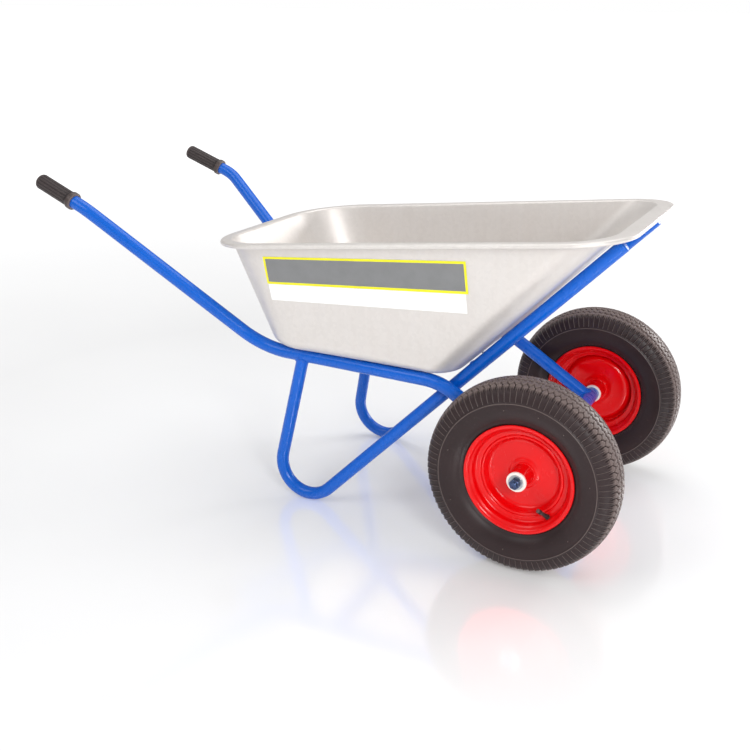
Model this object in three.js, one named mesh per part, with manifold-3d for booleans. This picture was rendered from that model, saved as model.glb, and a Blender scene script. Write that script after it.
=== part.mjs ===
// Two-wheeled wheelbarrow: pressed steel tray on a welded tube frame, two pneumatic wheels on one axle.
// Millimetres. +X points forward (tray front), +Y to the user's left, +Z up, the floor is z = 0.
import * as THREE from 'three';
import { mergeVertices } from 'three/addons/utils/BufferGeometryUtils.js';
import Module from 'manifold-3d';

const wasm = await Module();
wasm.setup();

// ---- driving dimensions ----
const gap = 0.3;                    // clearance between pieces that touch
const axleX = 492;                  // puts the middle of the whole barrow over the origin
const wheelRadius = 200;            // 4.00-8 tyre
const halfTrack = 271;              // wheel centre plane to the middle of the barrow
const wheelSegments = 30;

const handleRadius = 15;            // 30 mm tube
const braceRadius = 14;             // 28 mm tube
const axleTubeRadius = 16.5;        // 33 mm tube
const axleTubeWall = 2.5;
const tubeWall = 2;
const tubeSides = 5;                // half the number of sides of a tube

const rodRadius = 6;                // M12 axle rod
const hubHalfLength = 45;           // wheel centre plane to the face of a wheel bearing
const washerThickness = 2.5;
const washerRadius = 15;
const nutHeight = 10;
const nutAcrossFlats = 19;
const rodBeyondNut = 4;

const gripLength = 109;
const gripRadius = 17.8;
const gripCollarRadius = 20.5;

const sheet = 1;                    // tray sheet thickness
const floorZ = 352.6;               // underside of the tray floor
const rimSlope = 0.1027;            // the rim climbs towards the front
const rimHeightAtAxle = 658.5;
const beadRadius = 5;
const floorFillet = 36;
const boltRadius = 3;               // M6 tray bolts

// Corner points of the bent tubes on the left side, relative to the axle (x, y) and the floor (z).
const handleEnd = [-1179, 281, 698];
const handleBend = [-1046, 288, 644];
const runRear = [-664, 166, 337];
const runFront = [-213, 200, 336];
const handleFoot = [0, 199, wheelRadius];
const handleBendRadii = [110, 168, 130];
const legTopX = -557;
const footCorner = [-654, 210, -130.4];
const braceTop = [138.5, 138, 648.5];
const footBendRadius = 71;
const crossBarX = -150;
const crossBarRadius = 11;

// Plan outlines of the tray, relative to the axle: its rear and front ends, its half widths and its
// corner radii where the walls meet the floor, at the top of the walls and along the middle of the bead.
const outline = (rear, front, halfRear, halfFront, cornerRear, cornerFront) =>
  ({ rear, front, halfRear, halfFront, cornerRear, cornerFront });
const floorOutline = outline(-652, -187, 211, 223, 110, 70);
const wallOutline = outline(-747, 135.5, 242, 242, 122, 90);
const beadOutline = outline(-767, 168, 262, 262, 141, 115);

// ---- materials ----
const paint = (color, roughness) => new THREE.MeshStandardMaterial({ color, roughness, metalness: 0.1 });
const metal = (color, roughness) => new THREE.MeshStandardMaterial({ color, roughness, metalness: 0.9 });
const bluePaint = () => paint(0x1a6fd8, 0.35);
const redPaint = () => paint(0xe0141e, 0.25);
const galvanised = () => metal(0xdcd4ce, 0.42);
const zinc = () => metal(0xb9bcc4, 0.35);
const rubber = () => paint(0x372e2e, 0.75);
const nylon = () => paint(0xebe1d7, 0.5);
const labelFilm = () => paint(0x808080, 0.4);

// ---- geometry helpers ----
function signedVolume(geometry) {
  const p = geometry.attributes.position;
  const index = geometry.index;
  const [a, b, c] = [new THREE.Vector3(), new THREE.Vector3(), new THREE.Vector3()];
  let volume = 0;
  for (let i = 0; i < index.count; i += 3) {
    a.fromBufferAttribute(p, index.getX(i));
    b.fromBufferAttribute(p, index.getX(i + 1));
    c.fromBufferAttribute(p, index.getX(i + 2));
    volume += a.dot(b.cross(c)) / 6;
  }
  return volume;
}

// Merged closed mesh with its faces pointing out.
function closed(geometry) {
  const bare = geometry.clone();
  bare.deleteAttribute('normal');
  bare.deleteAttribute('uv');
  const merged = mergeVertices(bare, 1e-3);
  if (signedVolume(merged) < 0) {
    const order = merged.index.array;
    for (let i = 0; i < order.length; i += 3) {
      [order[i], order[i + 1]] = [order[i + 1], order[i]];
    }
  }
  merged.computeVertexNormals();
  return merged;
}

function toSolid(geometry) {
  const mesh = closed(geometry);
  const vertProperties = new Float32Array(mesh.attributes.position.array);
  const triVerts = new Uint32Array(mesh.index.array);
  return new wasm.Manifold(new wasm.Mesh({ numProp: 3, vertProperties, triVerts }));
}

function subtract(geometry, cutters) {
  let solid = toSolid(geometry);
  for (const cutter of cutters) {
    solid = solid.subtract(toSolid(cutter));
  }
  const mesh = solid.getMesh();
  const result = new THREE.BufferGeometry();
  result.setAttribute('position', new THREE.BufferAttribute(mesh.vertProperties, 3));
  result.setIndex(new THREE.BufferAttribute(mesh.triVerts, 1));
  result.computeVertexNormals();
  return result;
}

// Solid of revolution about Y; the profile is a list of [radius, y] that is closed or starts and ends
// on the axis.
function revolve(profile, segments, isRing) {
  const points = profile.map(([r, y]) => new THREE.Vector2(r, y));
  if (isRing) {
    points.push(points[0].clone());
  }
  return closed(new THREE.LatheGeometry(points, segments));
}

const ring = (inner, outer, from, to, segments) =>
  revolve([[inner, from], [outer, from], [outer, to], [inner, to]], segments, true);

// Round bar from one point to another, used to cut holes and saddle ends.
function bar(from, to, radius, sides) {
  const axis = new THREE.Vector3().subVectors(to, from);
  const geometry = new THREE.CylinderGeometry(radius, radius, axis.length(), sides);
  const direction = axis.clone().normalize();
  const turn = new THREE.Quaternion().setFromUnitVectors(new THREE.Vector3(0, 1, 0), direction);
  geometry.applyQuaternion(turn);
  const middle = new THREE.Vector3().addVectors(from, to).multiplyScalar(0.5);
  return geometry.translate(middle.x, middle.y, middle.z);
}

// Points of the arc that rounds the corner at b between a and c.
function cornerArc(a, b, c, radius, steps) {
  const u = new THREE.Vector3().subVectors(a, b).normalize();
  const v = new THREE.Vector3().subVectors(c, b).normalize();
  const half = u.angleTo(v) / 2;
  const towardsCentre = new THREE.Vector3().addVectors(u, v).normalize();
  const centre = b.clone().addScaledVector(towardsCentre, radius / Math.sin(half));
  const start = b.clone().addScaledVector(u, radius / Math.tan(half)).sub(centre);
  const end = b.clone().addScaledVector(v, radius / Math.tan(half)).sub(centre);
  const sweep = start.angleTo(end);
  const side = end.clone().addScaledVector(start, -Math.cos(sweep)).divideScalar(Math.sin(sweep));
  return Array.from({ length: steps + 1 }, (_, i) => {
    const angle = (sweep * i) / steps;
    return centre.clone().addScaledVector(start, Math.cos(angle)).addScaledVector(side, Math.sin(angle));
  });
}

// A bent tube's centre line: straight runs are one step, bends are several.
class BentPath extends THREE.Curve {
  constructor(corners, radii, stepsPerBend) {
    super();
    const inner = radii.flatMap((radius, i) =>
      cornerArc(corners[i], corners[i + 1], corners[i + 2], radius, stepsPerBend));
    this.stations = [corners[0], ...inner, corners[corners.length - 1]];
  }

  get steps() {
    return this.stations.length - 1;
  }

  getPoint(t) {
    const place = t * this.steps;
    const i = Math.min(Math.floor(place), this.steps - 1);
    return this.stations[i].clone().lerp(this.stations[i + 1], place - i);
  }

  getTangent(t) {
    const i = Math.round(t * this.steps);
    const here = this.stations[i];
    const direction = new THREE.Vector3();
    if (i > 0) {
      direction.add(here.clone().sub(this.stations[i - 1]).normalize());
    }
    if (i < this.steps) {
      direction.add(this.stations[i + 1].clone().sub(here).normalize());
    }
    return direction.normalize();
  }

  getUtoTmapping(u) {
    return u;
  }
}

function bentTube(corners, radii, radius, stepsPerBend) {
  const section = new THREE.Shape().absarc(0, 0, radius, 0, 2 * Math.PI);
  section.holes.push(new THREE.Path().absarc(0, 0, radius - tubeWall, 0, 2 * Math.PI));
  const extrudePath = new BentPath(corners, radii, stepsPerBend);
  const options = { steps: extrudePath.steps, extrudePath, bevelEnabled: false, curveSegments: tubeSides };
  return closed(new THREE.ExtrudeGeometry(section, options));
}

// ---- places on the left (side = 1) or right (side = -1) ----
const place = ([x, y, z], side) => new THREE.Vector3(x + axleX, side * y, z);
const onLine = (a, b, x) => a.clone().lerp(b, (x - a.x) / (b.x - a.x));
const runPoint = (x, side) => onLine(place(runRear, side), place(runFront, side), x + axleX);
const bracePoint = (x, side) => onLine(place(footCorner, side), place(braceTop, side), x + axleX);
const beyond = (a, b, length) => b.clone().addScaledVector(b.clone().sub(a).normalize(), length);
const sideName = (side) => (side > 0 ? 'left' : 'right');

const boltY = 90;
const strap = { x: -500, length: 40, thickness: 5 };

// Axis of each tray bolt: base is in the middle of the strap or bar that it passes through,
// and depth is half of that.
function boltAxes(side) {
  const strapMiddle = floorZ - gap - strap.thickness / 2;
  const floorBase = place([strap.x, boltY, strapMiddle], side);
  const floorUp = new THREE.Vector3(0, 0, 1);
  const floorBolt = { base: floorBase, up: floorUp, depth: strap.thickness / 2, packing: 1.7 };
  const frontBase = crossBarEnd(side);
  frontBase.y = side * boltY;
  const frontBolt = { base: frontBase, up: braceNormal(side), depth: crossBarRadius, packing: 5.2 };
  return { floor: floorBolt, front: frontBolt };
}

function drill({ base, up }) {
  const reach = 40;
  const low = base.clone().addScaledVector(up, -reach);
  const high = base.clone().addScaledVector(up, reach);
  return bar(low, high, boltRadius + gap, 10);
}

// ---- frame ----
function handleTube(side) {
  const start = gripAxis(side).tubeStart;
  const corners = [start, ...[handleBend, runRear, runFront, handleFoot].map((p) => place(p, side))];
  const tube = bentTube(corners, handleBendRadii, handleRadius, 5);
  const axleInner = place([0, 100, wheelRadius], side);
  const axleOuter = place([0, 250, wheelRadius], side);
  const axle = bar(axleInner, axleOuter, axleTubeRadius + gap, 24);
  return subtract(tube, [axle]);
}

function braceTube(side) {
  const top = runPoint(legTopX, side);
  const corners = [top, place(footCorner, side), place(braceTop, side)];
  const tube = bentTube(corners, [footBendRadius], braceRadius, 9);
  const handle = bar(runPoint(legTopX - 60, side), runPoint(legTopX + 60, side), handleRadius + gap, 24);
  return subtract(tube, [handle]);
}

function bracePlug(side) {
  const spigot = braceRadius - tubeWall - 3 * gap;
  const profile = [[0, -14], [spigot, -14], [spigot, gap], [braceRadius - 0.6, gap], [braceRadius - 2, 2.8],
    [braceRadius - 7, 4.2], [0, 4.6]];
  return revolve(profile, 16, false);
}

// The cross bar lies between the braces, flush with their upper faces.
function braceNormal(side) {
  const along = place(braceTop, side).sub(place(footCorner, side));
  return new THREE.Vector3(-along.z, 0, along.x).normalize();
}

const crossBarEnd = (side) =>
  bracePoint(crossBarX, side).addScaledVector(braceNormal(side), braceRadius - crossBarRadius);

function crossBar() {
  const [left, right] = [crossBarEnd(1), crossBarEnd(-1)];
  const tube = bentTube([right, left], [], crossBarRadius, 1);
  const cutters = [1, -1].map((side) =>
    bar(bracePoint(crossBarX - 60, side), bracePoint(crossBarX + 60, side), braceRadius + gap, 24));
  return subtract(tube, [...cutters, ...[1, -1].map((side) => drill(boltAxes(side).front))]);
}

// Flat strap between the two handle tubes, under the tray floor.
function rearStrap() {
  const inset = 9;                  // how far the strap's ends stay inside the tubes' centre lines
  const width = 2 * (runPoint(strap.x, 1).y - inset);
  const flat = new THREE.BoxGeometry(strap.length, width, strap.thickness);
  flat.translate(strap.x + axleX, 0, floorZ - gap - strap.thickness / 2);
  const cutters = [1, -1].map((side) =>
    bar(runPoint(strap.x - 60, side), runPoint(strap.x + 60, side), handleRadius + gap, 24));
  return subtract(flat, [...cutters, ...[1, -1].map((side) => drill(boltAxes(side).floor))]);
}

const axleTubeHalf = halfTrack - hubHalfLength - 2 * gap;
const plugLength = 24;

// ---- grips ----
function gripAxis(side) {
  const end = place(handleEnd, side);
  const direction = place(handleBend, side).sub(end).normalize();
  const tubeStart = end.clone().addScaledVector(direction, 5);
  return { end, direction, tubeStart };
}

function grip() {
  const bore = handleRadius + gap;
  const collarStart = gripLength - 11;
  const profile = [[0, 0], [12, 0.6], [16.4, 3], [gripRadius, 8], [gripRadius, collarStart - 3],
    [gripCollarRadius, collarStart], [gripCollarRadius, gripLength - 2], [gripCollarRadius - 2, gripLength],
    [bore, gripLength], [bore, 4], [0, 4]];
  return revolve(profile, 20, false);
}

// ---- tray ----
// Points round a rounded outline, each with its outward direction; the corners are quarter arcs.
function outlinePoints(plan, heightAt) {
  const stepsPerCorner = 6;
  const corners = [[1, 1, 0], [-1, 1, 90], [-1, -1, 180], [1, -1, 270]];
  return corners.flatMap(([endX, side, startAngle]) => {
    const front = endX > 0;
    const radius = front ? plan.cornerFront : plan.cornerRear;
    const half = front ? plan.halfFront : plan.halfRear;
    const centreX = (front ? plan.front : plan.rear) - endX * radius + axleX;
    const centreY = side * (half - radius);
    return Array.from({ length: stepsPerCorner + 1 }, (_, i) => {
      const angle = THREE.MathUtils.degToRad(startAngle + (90 * i) / stepsPerCorner);
      const outward = new THREE.Vector3(Math.cos(angle), Math.sin(angle), 0);
      const point = new THREE.Vector3(centreX, centreY, 0).addScaledVector(outward, radius);
      point.z = heightAt(point.x - axleX);
      return { point, outward };
    });
  });
}

const rimHeight = (x) => rimHeightAtAxle + rimSlope * x;
const lipDrop = beadRadius / 2;

// Rings of one face of the tray wall: the fillet off the floor, then the top of the wall.
function wallRings(inset) {
  const bottom = outlinePoints(floorOutline, () => floorZ + inset);
  const top = outlinePoints(wallOutline, (x) => rimHeight(x) - lipDrop);
  const filletSteps = 4;
  const columns = bottom.map(({ point, outward }, i) => {
    const corner = point.clone().addScaledVector(outward, -inset);
    const head = top[i].point.clone().addScaledVector(outward, -inset);
    const inside = corner.clone().addScaledVector(outward, -100);
    return [...cornerArc(inside, corner, head, floorFillet - inset, filletSteps), head];
  });
  return columns[0].map((_, ringIndex) => columns.map((column) => column[ringIndex]));
}

function rimRings() {
  const beadAngles = [-150, -90, -30, 30, 90, 150].map(THREE.MathUtils.degToRad);
  const centres = outlinePoints(beadOutline, rimHeight);
  const bead = beadAngles.map((angle) => centres.map(({ point, outward }) => {
    const ringPoint = point.clone().addScaledVector(outward, beadRadius * Math.cos(angle));
    ringPoint.z += beadRadius * Math.sin(angle);
    return ringPoint;
  }));
  const lipTop = outlinePoints(wallOutline, rimHeight).map(({ point, outward }) => {
    const edge = point.clone().addScaledVector(outward, 3);
    edge.z += lipDrop - 0.5;
    return edge;
  });
  return [...bead, lipTop];
}

// Closed skin through a stack of rings, with a fan over its first and last ring.
function loft(rings) {
  const count = rings[0].length;
  const positions = rings.flat().flatMap((p) => [p.x, p.y, p.z]);
  const index = [];
  for (let r = 0; r < rings.length - 1; r += 1) {
    for (let i = 0; i < count; i += 1) {
      const next = (i + 1) % count;
      const [a, b, c, d] = [r * count + i, r * count + next, (r + 1) * count + i, (r + 1) * count + next];
      index.push(a, b, d, a, d, c);
    }
  }
  for (const [ringIndex, flip] of [[0, true], [rings.length - 1, false]]) {
    const centre = rings[ringIndex].reduce((sum, p) => sum.add(p), new THREE.Vector3()).divideScalar(count);
    const hub = positions.length / 3;
    positions.push(centre.x, centre.y, centre.z);
    for (let i = 0; i < count; i += 1) {
      const [a, b] = [ringIndex * count + i, ringIndex * count + ((i + 1) % count)];
      index.push(...(flip ? [hub, b, a] : [hub, a, b]));
    }
  }
  const geometry = new THREE.BufferGeometry();
  geometry.setAttribute('position', new THREE.Float32BufferAttribute(positions, 3));
  geometry.setIndex(index);
  return closed(geometry);
}

function tray() {
  const shell = loft([...wallRings(0), ...rimRings(), ...wallRings(sheet).reverse()]);
  const drills = [1, -1].flatMap((side) => Object.values(boltAxes(side)).map(drill));
  return subtract(shell, drills);
}

// Printed label on the right wall: a thin flat plate just off the sheet, its middle relative to the axle.
const label = { length: 470, height: 100, thickness: 0.5, middle: [-376, -235.5, 540], slope: 0.085 };
const wallLean = Math.atan2(34, 270);

function sideLabel() {
  return new THREE.BoxGeometry(label.length, label.thickness, label.height);
}

// ---- tray bolts ----
// packing is the distance from the strap or bar to the underside of the head, with the sheet in it
function trayBolt({ depth, packing }) {
  const under = depth + packing;
  const tail = -depth - 6;
  const profile = [[0, tail], [boltRadius, tail], [boltRadius, under], [7.5, under], [7.2, under + 1.5],
    [4.5, under + 3.2], [0, under + 3.8]];
  return revolve(profile, 12, false);
}

function hexNut(acrossFlats, bore, height) {
  const corner = acrossFlats / Math.sqrt(3);
  const hexagon = new THREE.Shape();
  for (let i = 0; i < 6; i += 1) {
    const angle = (Math.PI * i) / 3;
    hexagon.lineTo(corner * Math.cos(angle), corner * Math.sin(angle));
  }
  hexagon.curves.shift();
  hexagon.closePath();
  hexagon.holes.push(new THREE.Path().absarc(0, 0, bore, 0, 2 * Math.PI));
  const settings = { depth: height, bevelEnabled: false, curveSegments: 6 };
  const geometry = new THREE.ExtrudeGeometry(hexagon, settings);
  return closed(geometry.rotateX(-Math.PI / 2));
}

// ---- wheel, built about Y with its outer face towards +Y ----
function tyre() {
  const outer = [[102.4, 19], [102.4, 26.4], [115, 30.4], [132, 44.5], [158, 50], [182, 46], [195, 34],
    [wheelRadius, 0]];
  const inner = [[192.5, 0], [181, 37], [158, 44.5], [136, 39.5], [112, 21.5]];
  const lower = ([r, y]) => [r, -y];
  const profile = [...outer, ...outer.slice(0, -1).reverse().map(lower),
    ...inner.slice(1).reverse().map(lower), ...inner];
  return revolve(profile, wheelSegments, true);
}

const tubeSection = { centre: 148, halfHeight: 36, halfWidth: 36, wall: 2 };

function innerTube(valve) {
  const { centre, halfHeight, halfWidth, wall } = tubeSection;
  const oval = (shrink) => Array.from({ length: 8 }, (_, i) => {
    const angle = (Math.PI * (i + 0.5)) / 4;
    return [centre + (halfHeight - shrink) * Math.cos(angle), (halfWidth - shrink) * Math.sin(angle)];
  });
  const inside = revolve(oval(wall), 24, true);
  const hole = bar(valve.root, beyond(valve.tip, valve.root, 30), 3, 8);
  return subtract(revolve(oval(0), 24, true), [inside, hole]);
}

function rimBarrel(valve) {
  const visible = [[114, 34], [104, 32.5], [98.4, 26], [98, 17], [86, 12]];
  const hidden = [[114, 32], [104.9, 30.6], [100.6, 25.4], [100.2, 15.4], [88, 10.2]];
  const lower = ([r, y]) => [r, -y];
  const profile = [...visible, ...visible.slice().reverse().map(lower), ...hidden.map(lower),
    ...hidden.slice().reverse()];
  const hole = bar(valve.tip, beyond(valve.tip, valve.root, 12), valve.radius + gap, 12);
  return subtract(revolve(profile, wheelSegments, true), [hole]);
}

function wheelDisc() {
  const face = [[22, 1.25], [58, 0.25], [66, 0.75], [73.5, 5], [79, 11.5], [85.2, 11.5]];
  const back = [[85.2, 9], [80.3, 9], [75, 2.5], [67, -1.75], [58, -2.25], [22, -1.25]];
  const profile = [...face, ...back];
  return revolve(profile, wheelSegments, true);
}

const hubRadius = 21.6;
const bearingSeat = 17;
const flangeThickness = 5;

function hub() {
  const half = hubHalfLength - flangeThickness - gap;
  return ring(bearingSeat, hubRadius, -half, half, 24);
}

function wheelBearing() {
  const bore = rodRadius + 2 * gap;
  const flangeRadius = 20.4;
  const flangeBack = hubHalfLength - flangeThickness;
  const spigot = bearingSeat - gap;
  const spigotEnd = flangeBack - 14;
  const profile = [[bore, hubHalfLength], [flangeRadius, hubHalfLength], [flangeRadius, flangeBack],
    [spigot, flangeBack], [spigot, spigotEnd], [bore, spigotEnd]];
  return revolve(profile, 20, true);
}

// The valve leaves the barrel's shoulder and leans inwards and out of the dish.
function valveAxis() {
  const angle = THREE.MathUtils.degToRad(-52);
  const at = (r, y) => new THREE.Vector3(r * Math.cos(angle), y, r * Math.sin(angle));
  return { root: at(100.5, 12.5), tip: at(76, 31), radius: 4.6 };
}

function valveStem({ root, tip, radius }) {
  const length = tip.distanceTo(root);
  const neck = 3.4;
  const profile = [[0, 0], [radius, 0], [radius, 12], [neck, 16], [neck, length], [0, length]];
  return revolve(profile, 12, false);
}

const valveCap = () => revolve([[0, 0], [4.4, 0], [4.4, 6.5], [3.6, 7.5], [0, 7.5]], 12, false);

// ---- assembly ----
const barrow = new THREE.Group();

function addMesh(parent, name, geometry, material) {
  const mesh = new THREE.Mesh(geometry, material);
  mesh.name = name;
  parent.add(mesh);
  return mesh;
}

function pointAlong(mesh, from, direction) {
  mesh.position.copy(from);
  mesh.quaternion.setFromUnitVectors(new THREE.Vector3(0, 1, 0), direction.clone().normalize());
}

function addFrameSide(side) {
  const name = sideName(side);
  addMesh(barrow, `handle_tube_${name}`, handleTube(side), bluePaint());
  addMesh(barrow, `brace_tube_${name}`, braceTube(side), bluePaint());
  const plug = addMesh(barrow, `brace_plug_${name}`, bracePlug(side), bluePaint());
  pointAlong(plug, place(braceTop, side), place(braceTop, side).sub(place(footCorner, side)));
  const gripMesh = addMesh(barrow, `grip_${name}`, grip(), rubber());
  const { end, direction } = gripAxis(side);
  pointAlong(gripMesh, end, direction);
}

function addTrayBolts(side) {
  for (const [where, axis] of Object.entries(boltAxes(side))) {
    const bolt = addMesh(barrow, `tray_bolt_${where}_${sideName(side)}`, trayBolt(axis), zinc());
    pointAlong(bolt, axis.base, axis.up);
    const nutTall = 5;
    const nutShape = hexNut(10, boltRadius + gap, nutTall);
    const nut = addMesh(barrow, `tray_nut_${where}_${sideName(side)}`, nutShape, zinc());
    pointAlong(nut, axis.base.clone().addScaledVector(axis.up, -axis.depth - gap - nutTall), axis.up);
  }
}

function addTray() {
  addMesh(barrow, 'tray', tray(), galvanised());
  const film = addMesh(barrow, 'side_label', sideLabel(), labelFilm());
  film.position.copy(place(label.middle, 1));
  film.rotation.set(-wallLean, -label.slope, 0, 'YXZ');
}

// Fixed parts at one end of the axle, built along +Y.
function addAxleEnd(side) {
  const name = sideName(side);
  const fixed = new THREE.Group();
  fixed.position.set(axleX, 0, wheelRadius);
  fixed.rotation.x = side > 0 ? 0 : Math.PI;
  const bore = rodRadius + gap;
  const plugRadius = axleTubeRadius - axleTubeWall - gap;
  const plug = ring(bore, plugRadius, axleTubeHalf - plugLength, axleTubeHalf - 1, 20);
  addMesh(fixed, `axle_plug_${name}`, plug, zinc());
  const washerFrom = halfTrack + hubHalfLength + gap;
  const washer = ring(bore, washerRadius, washerFrom, washerFrom + washerThickness, 20);
  addMesh(fixed, `axle_washer_${name}`, washer, zinc());
  const nut = addMesh(fixed, `axle_nut_${name}`, hexNut(nutAcrossFlats, bore, nutHeight), zinc());
  nut.position.y = washerFrom + washerThickness + gap;
  barrow.add(fixed);
}

function addAxle() {
  const tube = ring(axleTubeRadius - axleTubeWall, axleTubeRadius, -axleTubeHalf, axleTubeHalf, 20);
  addMesh(barrow, 'axle_tube', tube, bluePaint()).position.set(axleX, 0, wheelRadius);
  const reach = halfTrack + hubHalfLength + washerThickness + nutHeight + rodBeyondNut;
  const rodProfile = [[0, -reach], [rodRadius, -reach], [rodRadius, reach], [0, reach]];
  addMesh(barrow, 'axle_rod', revolve(rodProfile, 12, false), zinc()).position.set(axleX, 0, wheelRadius);
  addAxleEnd(1);
  addAxleEnd(-1);
}

function addWheel(side) {
  const name = sideName(side);
  const wheel = new THREE.Group();
  wheel.position.set(axleX, side * halfTrack, wheelRadius);
  const valve = valveAxis();
  addMesh(wheel, `tyre_${name}`, tyre(), rubber());
  addMesh(wheel, `inner_tube_${name}`, innerTube(valve), rubber());
  addMesh(wheel, `rim_barrel_${name}`, rimBarrel(valve), redPaint());
  addMesh(wheel, `wheel_disc_${name}`, wheelDisc(), redPaint());
  addMesh(wheel, `hub_${name}`, hub(), redPaint());
  addMesh(wheel, `bearing_outer_${name}`, wheelBearing(), nylon());
  addMesh(wheel, `bearing_inner_${name}`, wheelBearing(), nylon()).rotation.x = Math.PI;
  const valveDirection = valve.tip.clone().sub(valve.root);
  pointAlong(addMesh(wheel, `valve_stem_${name}`, valveStem(valve), rubber()), valve.root, valveDirection);
  const capStart = beyond(valve.root, valve.tip, gap);
  pointAlong(addMesh(wheel, `valve_cap_${name}`, valveCap(), rubber()), capStart, valveDirection);
  wheel.scale.y = side;
  barrow.add(wheel);
}

for (const side of [1, -1]) {
  addFrameSide(side);
  addTrayBolts(side);
}
addMesh(barrow, 'cross_bar', crossBar(), bluePaint());
addMesh(barrow, 'rear_strap', rearStrap(), bluePaint());
addTray();
addAxle();
for (const side of [1, -1]) {
  addWheel(side);
}

export default barrow;
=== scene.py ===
import math

import bmesh
import bpy
import numpy as np
from mathutils import Matrix, Vector
from mathutils.bvhtree import BVHTree


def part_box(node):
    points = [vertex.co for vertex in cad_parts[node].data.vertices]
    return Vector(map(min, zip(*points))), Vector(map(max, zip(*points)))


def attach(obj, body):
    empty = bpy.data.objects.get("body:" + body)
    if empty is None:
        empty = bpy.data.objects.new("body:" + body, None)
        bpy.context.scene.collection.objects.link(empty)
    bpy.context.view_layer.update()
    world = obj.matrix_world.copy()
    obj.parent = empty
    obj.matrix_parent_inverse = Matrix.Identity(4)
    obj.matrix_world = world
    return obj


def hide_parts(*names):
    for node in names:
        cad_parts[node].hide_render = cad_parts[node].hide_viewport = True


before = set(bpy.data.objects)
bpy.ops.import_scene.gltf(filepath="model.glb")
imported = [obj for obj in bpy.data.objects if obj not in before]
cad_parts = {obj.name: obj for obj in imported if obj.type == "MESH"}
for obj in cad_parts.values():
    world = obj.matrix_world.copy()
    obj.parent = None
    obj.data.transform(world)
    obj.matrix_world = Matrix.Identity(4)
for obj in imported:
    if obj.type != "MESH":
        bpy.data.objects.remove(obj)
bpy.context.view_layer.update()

# Lengths below are millimetres; piece() turns them into metres. +X is the front and +Y the user's left.
MM = 0.001


def middle_of(node):
    low_corner, high_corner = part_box(node)
    return low_corner.lerp(high_corner, 0.5)


X_AXIS, Y_AXIS, Z_AXIS = Vector((1, 0, 0)), Vector((0, 1, 0)), Vector((0, 0, 1))
SIDES = {"left": 1, "right": -1}
AXLE_X = middle_of("axle_rod").x / MM
HALF_TRACK = middle_of("tyre_left").y / MM
WHEEL_RADIUS = 200
AXLE = Vector((AXLE_X, 0, WHEEL_RADIUS))

# Points of the left side's tubes; their X counts from the axle. Bends are radii of the middle line.
HANDLE_RADIUS = 15
HANDLE_CORNERS = [(-1179, 281, 698), (-1046, 288, 644), (-664, 166, 337), (-213, 200, 336), (0, 199, 200)]
HANDLE_BENDS = [110, 168, 130]
BRACE_RADIUS = 14
LEG_TOP_X = -557
FOOT_CORNER = (-654, 210, -130.4)
FOOT_BEND = 71
BRACE_TOP = (138.5, 138, 648.5)
CROSS_BAR_RADIUS = 11
CROSS_BAR_X = -150
AXLE_TUBE_RADIUS = 16.5
AXLE_TUBE_BORE = 14
AXLE_TUBE_HALF = 225.4
INTO_HANDLE = 9
INTO_AXLE_TUBE = 11

# Outlines of the brace's plug and of the lump of weld where brace and handle tube pass: (radius, height).
PLUG_OUTLINE = [(0, -12), (11, -12), (11, -1), (13.8, -0.4), (14.1, 0.6), (13.6, 2.2), (12, 3.6),
                (7.5, 4.6), (0, 5)]
CROSSING_OUTLINE = [(0, -5), (6, -4.6), (9.5, -3.4), (8.2, -1.8), (7.4, 0), (8.2, 1.8), (9.5, 3.4),
                    (6, 4.6), (0, 5)]

GRIP_LENGTH = 109
GRIP_FLUTES = 16
GRIP_WALL_END = 4
GRIP_RADIUS = 17.9
FLUTE_DEPTH = 1.1

# Along the axle rod, counted from its middle.
ROD_RADIUS = 6
ROD_HALF = 332.5
THREAD_START, THREAD_PITCH, THREAD_TURNS = 316.4, 1.75, 9
WASHER = {"bore": 6.4, "radius": 15, "start": 316.3, "end": 318.8}
NUT = {"across_flats": 19, "bore": 6.2, "start": 319.1, "height": 10}

# Tray plans: rear and front X from the axle, half widths at the rear and front, corner radii likewise.
FLOOR_PLAN = (-652, -187, 211, 223, 110, 70)
WALL_PLAN = (-747, 135.5, 242, 242, 122, 90)
BEAD_PLAN = (-767, 168, 262, 262, 141, 115)
TRAY_FLOOR_Z = 352.6
FLOOR_FILLET = 36
SHEET = 1.2
BEAD_RADIUS = 5
RIM_HEIGHT = 658.5
RIM_RISE = 0.1027
RIM_NECK = 1.4
NECK_BEND = 3.5
LIP_BEND = 5.5

# The label on the right wall: its middle from the axle, its tilt in radians, and heights over that middle.
LABEL_MIDDLE = (-376, -235.5, 540)
LABEL_TILT = 0.085
LABEL_HALF = 235
LABEL_TOP = 50
BAND_BOTTOM = -12.5
STRIP_BOTTOM = -50
BORDER = 5


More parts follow.
